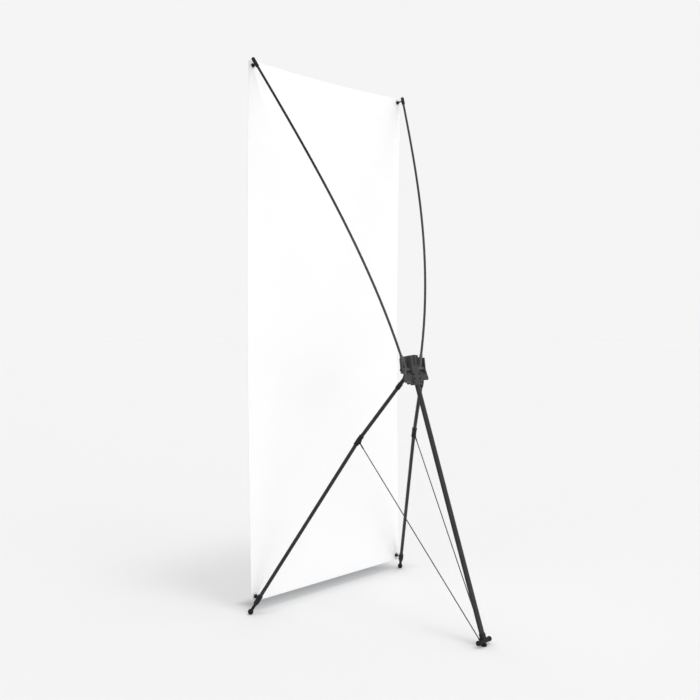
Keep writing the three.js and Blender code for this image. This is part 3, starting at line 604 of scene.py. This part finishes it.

# %% [markdown]
# The braid of the cord is two sets of threads that wind round it in opposite directions. Modelled
# threads would be thousands of faces for a cord that is barely a pixel wide in the picture. So two
# wave patterns in the tube's own coordinates, one leaning each way, give that relief, and the gaps
# between the threads get a darker colour as painted shade.

# %% Braided cord
thread_shade = (0.03, 0.03, 0.031)
# The gaps' colour is painted shade between the threads.
gap_painted_shade = (0.006, 0.006, 0.0065)
braid_count = 150
braid_leans = (2, -2)
wave_top = 0.5
cord_braid = start_finish("cord_braid", thread_shade, roughness=0.85)
along_cord = add_node(cord_braid, "ShaderNodeUVMap", {})
along_cord.uv_map = "along"
waves = []
for lean in braid_leans:
    leaning = add_node(cord_braid, "ShaderNodeMapping", {
        "Vector": along_cord.outputs["UV"],
        "Scale": (braid_count, lean, 1)})
    cord_place = split(cord_braid, leaning.outputs["Vector"])
    phase = number(cord_braid, "ADD", cord_place["X"], cord_place["Y"])
    waves.append(number(cord_braid, "PINGPONG", phase, wave_top))
threads = joined(cord_braid, "MAXIMUM", waves)
two_shades(cord_braid, threads, gap_painted_shade, thread_shade, (0, wave_top))
bump(cord_braid, threads, height=0.0004, strength=0.6)

# %% [markdown]
# The sheet is white coated vinyl over a woven scrim. The scrim shows only as a very fine square
# relief, and the coating has a soft satin gloss that is a little uneven. Two wave textures, one
# upright and one level, make the squares without a picture of cloth.

# %% White vinyl
scrim_scale = 190
vinyl = start_finish("vinyl", (0.947, 0.947, 0.952), roughness=0.38)
drift(vinyl, (0.938, 0.938, 0.944), scale=6)
worn(vinyl, rougher=0.52, scale=9)
scrim = []
for direction in ("X", "Z"):
    weave = add_node(vinyl, "ShaderNodeTexWave", {"Vector": own_place(vinyl), "Scale": scrim_scale})
    weave.bands_direction = direction
    scrim.append(weave.outputs["Fac"])
bump(vinyl, joined(vinyl, "ADD", scrim), height=0.00005, strength=0.15)

# %% [markdown]
# ## Dressing the carried-over pieces
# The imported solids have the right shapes, with edges as sharp as a drawing. A real moulding has a
# small radius on every edge that catches the light. A bevel modifier gives it without touching the
# mesh, once a weld has joined the facets, and smooth shading then rounds the turned pieces.

# %% Finish and edge radius of each slot
finish_of = {
    "hub_plastic": (hub_plastic, 0.0007),
    "black_plastic": (black_plastic, 0.0005),
    "rod": (rod_skin, 0.0004),
    "leg_tube": (leg_paint, 0.0002),
    "steel": (dark_steel, 0.0003),
    "foot_rubber": (foot_rubber, 0.0006),
    "cord": (cord_braid, 0),
    "eyelet": (black_plate, 0.0002),
    "sheet": (vinyl, 0),
}
slot_of = {entry["node"]: entry["material_slot"] for entry in frame["record"]["subparts"]}
print("slots:", len(finish_of))

# %% Put on a finish and round the edges
weld_reach = 0.00001
edge_steps = 2
sharp_from = radians(32)


def dress(piece, finish):
    piece.data.materials.clear()
    piece.data.materials.append(finish)


def round_edges(piece, radius):
    if "custom_normal" in piece.data.attributes:
        piece.data.attributes.remove(piece.data.attributes["custom_normal"])
    piece.data.shade_smooth()
    weld = piece.modifiers.new("weld", "WELD")
    weld.merge_threshold = weld_reach
    edge = piece.modifiers.new("edge", "BEVEL")
    edge.width = radius
    edge.segments = edge_steps
    edge.limit_method = "ANGLE"
    edge.angle_limit = sharp_from
    edge.harden_normals = True


# %% Dress every piece
for name, piece in nodes.items():
    finish, radius = finish_of[slot_of[name]]
    dress(piece, finish)
    if radius and not piece.hide_render:
        round_edges(piece, radius)
for cord in cords.values():
    dress(cord, cord_braid)
for block in shoulders:
    finish, radius = finish_of["hub_plastic"]
    dress(block, finish)
    round_edges(block, radius)
dress(sheet, vinyl)
print("dressed:", len(nodes) + len(cords) + len(shoulders) + 1)

# %% [markdown]
# ## Floor, light and background
# The picture has an even pale grey background, a soft shadow in front of the sheet, and no horizon.
# Area lamps would have to be large and near to light the whole stand evenly, so a soft sky lights it
# from all round. It is much brighter from above and behind the stand than from below and in front,
# so faces that look away from there go darker, as they do in a studio with one big soft box.

# %% Sky
box_side = Vector((-0.35, 0.45, 0.82)).normalized()
sky_dim = 0.19
sky_bright = 1.11
sky = bpy.data.worlds.new("sky")
bpy.context.scene.world = sky
sky.use_nodes = True
sky.node_tree.nodes.clear()
towards = add_node(sky, "ShaderNodeTexCoord", {}).outputs["Generated"]
facing_box = add_node(sky, "ShaderNodeVectorMath", {0: towards, 1: box_side}, "DOT_PRODUCT")
level = change(sky, facing_box.outputs["Value"], (-1, 1), (sky_dim, sky_bright), soft=False)
lighting = add_node(sky, "ShaderNodeBackground", {"Color": (1, 1, 1, 1), "Strength": level})
print("sky from", sky_dim, "to", sky_bright)

# %% [markdown]
# The camera, and anything glossy, sees an even grey instead of that sky, which is how the studio's
# paper background looks. A wall behind the stand would stand in the way of the other views.

# %% Background
background_grey = 0.913
backdrop = add_node(sky, "ShaderNodeBackground", {
    "Color": (background_grey, background_grey, background_grey, 1)})
ray = add_node(sky, "ShaderNodeLightPath", {}).outputs
seen = joined(sky, "MAXIMUM", [
    ray["Is Camera Ray"],
    ray["Is Glossy Ray"],
    ray["Is Transmission Ray"]])
choose = add_node(sky, "ShaderNodeMixShader", {
    "Fac": seen,
    1: lighting.outputs["Background"],
    2: backdrop.outputs["Background"]})
add_node(sky, "ShaderNodeOutputWorld", {"Surface": choose.outputs["Shader"]})
print("background grey:", background_grey)

# %% [markdown]
# The sky alone is too soft to cast the shadow in front of the sheet, so one sun from above casts
# it. Two low suns, from behind and from the front, light the upright faces. Spots could do it
# too, but a sun lights a tall stand the same at its top and at its foot.

# %% Suns
def add_sun(name, travels, strength, softness):
    """A sun whose light travels in one direction. Its softness is in degrees."""
    data = bpy.data.lights.new(name, "SUN")
    data.energy = strength
    data.angle = radians(softness)
    sun = bpy.data.objects.new(name, data)
    sun.rotation_euler = Vector(travels).to_track_quat("-Z", "Y").to_euler()
    bpy.context.scene.collection.objects.link(sun)
    print(name, "has strength", strength)


add_sun("high_sun", travels=(0.06, -0.34, -0.94), strength=0.42, softness=14)
add_sun("rear_fill", travels=(0.15, -0.98, -0.08), strength=0.5, softness=40)
add_sun("front_fill", travels=(0.3, 0.95, -0.02), strength=0.4, softness=20)

# %% [markdown]
# The floor is a wide flat plane, in a grey that this light brings close to the background's, so that
# it runs into it. A curved sweep, as in a real studio, would need a place behind the stand, and the
# other views look from all sides.

# %% Floor
floor_grey = 0.868
floor_half = 30
floor_corners = [(-floor_half, -floor_half, 0), (floor_half, -floor_half, 0),
                 (floor_half, floor_half, 0), (-floor_half, floor_half, 0)]
floor = add_piece("floor", floor_corners, [(0, 1, 2, 3)])
floor_paint = start_finish("floor_paint", (floor_grey, floor_grey, floor_grey), roughness=1.0, gloss=0)
dress(floor, floor_paint)
print("floor:", 2 * floor_half, "m wide")

# %% [markdown]
# Under the sheet's lower edge the picture has a dark soft band that the sky washes out here. A
# darker sky would darken the whole stand, so the band is painted on the floor, along the sheet's
# foot line. It has four soft edges: in front, where it runs at a slight skew, behind, at the end
# near the camera and at the far end. Where the largest of the four numbers is 1 the floor is clear.

# %% Shade along the foot of the sheet
shade_front = (sheet_plane - 0.2, sheet_plane - 0.115)
shade_skew = 0.14
shade_rear = (sheet_plane - 0.125, sheet_plane + 0.06)
shade_near_end = (0.32, 0.4)
shade_far_end = (-0.52, -0.24)
shade_colour = (0.405, 0.412, 0.431)
floor_place = own_place(floor_paint)
floor_run = split(floor_paint, floor_place)
skewed = add_node(floor_paint, "ShaderNodeVectorMath", {
    0: floor_place,
    1: (-shade_skew, 1, 0)}, "DOT_PRODUCT")
clear = joined(floor_paint, "MAXIMUM", [
    change(floor_paint, skewed.outputs["Value"], shade_front, (1, 0)),
    change(floor_paint, floor_run["Y"], shade_rear, (0, 1)),
    change(floor_paint, floor_run["X"], shade_near_end, (0, 1)),
    change(floor_paint, floor_run["X"], shade_far_end, (1, 0))])
two_shades(floor_paint, clear, shade_colour, (floor_grey, floor_grey, floor_grey))
print("shade from", shade_far_end[0], "to", shade_near_end[1], "m across")

# %% [markdown]
# ## Finish
# The colours are shown as they are, with no film look.

bpy.context.scene.view_settings.view_transform = "Standard"
